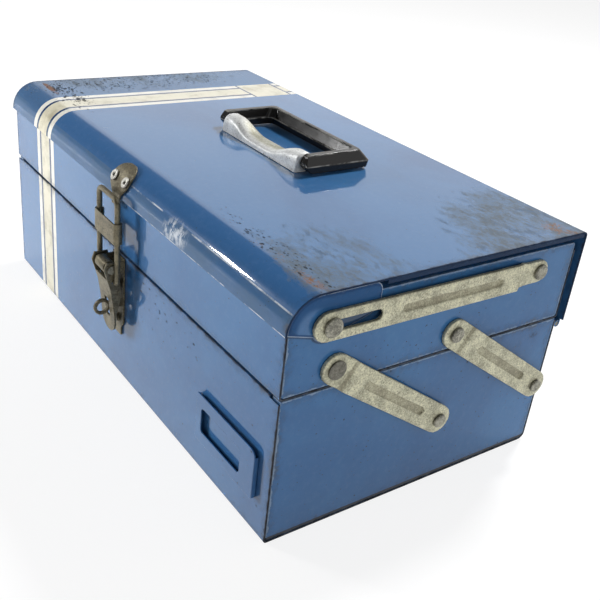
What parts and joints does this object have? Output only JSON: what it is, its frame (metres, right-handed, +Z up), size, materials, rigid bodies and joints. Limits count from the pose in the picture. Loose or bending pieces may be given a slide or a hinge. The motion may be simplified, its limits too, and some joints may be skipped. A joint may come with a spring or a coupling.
{
  "type": "tool caddy",
  "caption": "Blue sheet-steel tool caddy: hinged lid with folding handle, lifting tray on side arms, draw latch.",
  "frame": {"origin": "middle of the body's flat underside", "axes": "+X along the length, -Y towards the latch, +Z up"},
  "size_m": [0.434, 0.2553, 0.1814],
  "materials": {
    "paint": "glossy blue enamel, chipped",
    "zinc": "dull mottled zinc",
    "latch": "tarnished plating",
    "steel": "bright plated",
    "silver": "worn silver",
    "grip": "glossy black"
  },
  "bodies": {
    "body": {"body_wrapper": "paint", "body_end_left": "paint", "body_end_right": "paint", "label_frame": "paint", "hinge_leaf": "paint", "hinge_pin": "steel", "latch_base": "latch", "latch_rivet_lower": "latch", "latch_rivet_upper": "latch", "padlock_eye": "latch", "front_lower_pin_left": "steel", "front_lower_pin_right": "steel", "rear_lower_pin_left": "steel", "rear_lower_pin_right": "steel"},
    "lid": {"lid_shell": "paint", "lid_cheek_left": "paint", "lid_cheek_right": "paint", "keeper": "latch", "keeper_eyelet_left": "steel", "keeper_eyelet_right": "steel", "handle_base": "silver", "handle_rivet_left": "steel", "handle_rivet_right": "steel", "handle_pin_left": "steel", "handle_pin_right": "steel"},
    "front_arms": {"front_arm_left": "zinc", "front_arm_right": "zinc"},
    "rear_arms": {"rear_arm_left": "zinc", "rear_arm_right": "zinc"},
    "tray": {"tray_wrapper": "paint", "tray_end_left": "paint", "tray_end_right": "paint", "front_upper_pin_left": "steel", "front_upper_pin_right": "steel", "rear_upper_pin_left": "steel", "rear_upper_pin_right": "steel", "lid_arm_pivot_left": "steel", "lid_arm_pivot_right": "steel"},
    "lid_arms": {"lid_arm_left": "zinc", "lid_arm_right": "zinc", "guide_pin_left": "steel", "guide_pin_right": "steel"},
    "grip": {"handle_grip": "grip"},
    "lever": {"latch_lever": "latch", "lever_pin": "latch", "latch_roller": "latch"},
    "bail": {"latch_bail": "latch", "bail_plate": "latch"}
  },
  "joints": [
    {"name": "lid_hinge", "type": "hinge", "parent": "body", "child": "lid", "pos_m": [0, 0.11765, 0.097], "axis": [-1, 0, 0], "range_deg": [0, 135]},
    {"name": "front_arm_joint", "type": "hinge", "parent": "body", "child": "front_arms", "pos_m": [0, 0.0114, 0.0531], "axis": [-1, 0, 0], "range_deg": [0, 35.1]},
    {"name": "rear_arm_joint", "type": "hinge", "parent": "body", "child": "rear_arms", "pos_m": [0, 0.1038, 0.0531], "axis": [-1, 0, 0], "range_deg": [0, 35.1]},
    {"name": "tray_joint", "type": "hinge", "parent": "front_arms", "child": "tray", "pos_m": [0, -0.079, 0.1155], "axis": [-1, 0, 0], "range_deg": [-35.1, 0]},
    {"name": "lid_arm_joint", "type": "hinge", "parent": "tray", "child": "lid_arms", "pos_m": [0, 0.0796, 0.1458], "axis": [-1, 0, 0], "range_deg": [0, 172.6]},
    {"name": "handle_joint", "type": "hinge", "parent": "lid", "child": "grip", "pos_m": [0.005, 0.0022, 0.175], "axis": [1, 0, 0], "range_deg": [0, 95]},
    {"name": "latch_joint", "type": "hinge", "parent": "body", "child": "lever", "pos_m": [0.004, -0.126, 0.0955], "axis": [-1, 0, 0], "range_deg": [0, 120]},
    {"name": "bail_joint", "type": "hinge", "parent": "lever", "child": "bail", "pos_m": [0.004, -0.1235, 0.0855], "axis": [1, 0, 0], "range_deg": [0, 144.1]}
  ],
  "couplings": [
    {"joint": "front_arm_joint", "follows": "lid_hinge", "ratio": 0.25926},
    {"joint": "rear_arm_joint", "follows": "lid_hinge", "ratio": 0.25926},
    {"joint": "tray_joint", "follows": "lid_hinge", "ratio": -0.25926},
    {"joint": "lid_arm_joint", "follows": "lid_hinge", "ratio": 1.2777},
    {"joint": "bail_joint", "follows": "latch_joint", "ratio": 1.2}
  ]
}
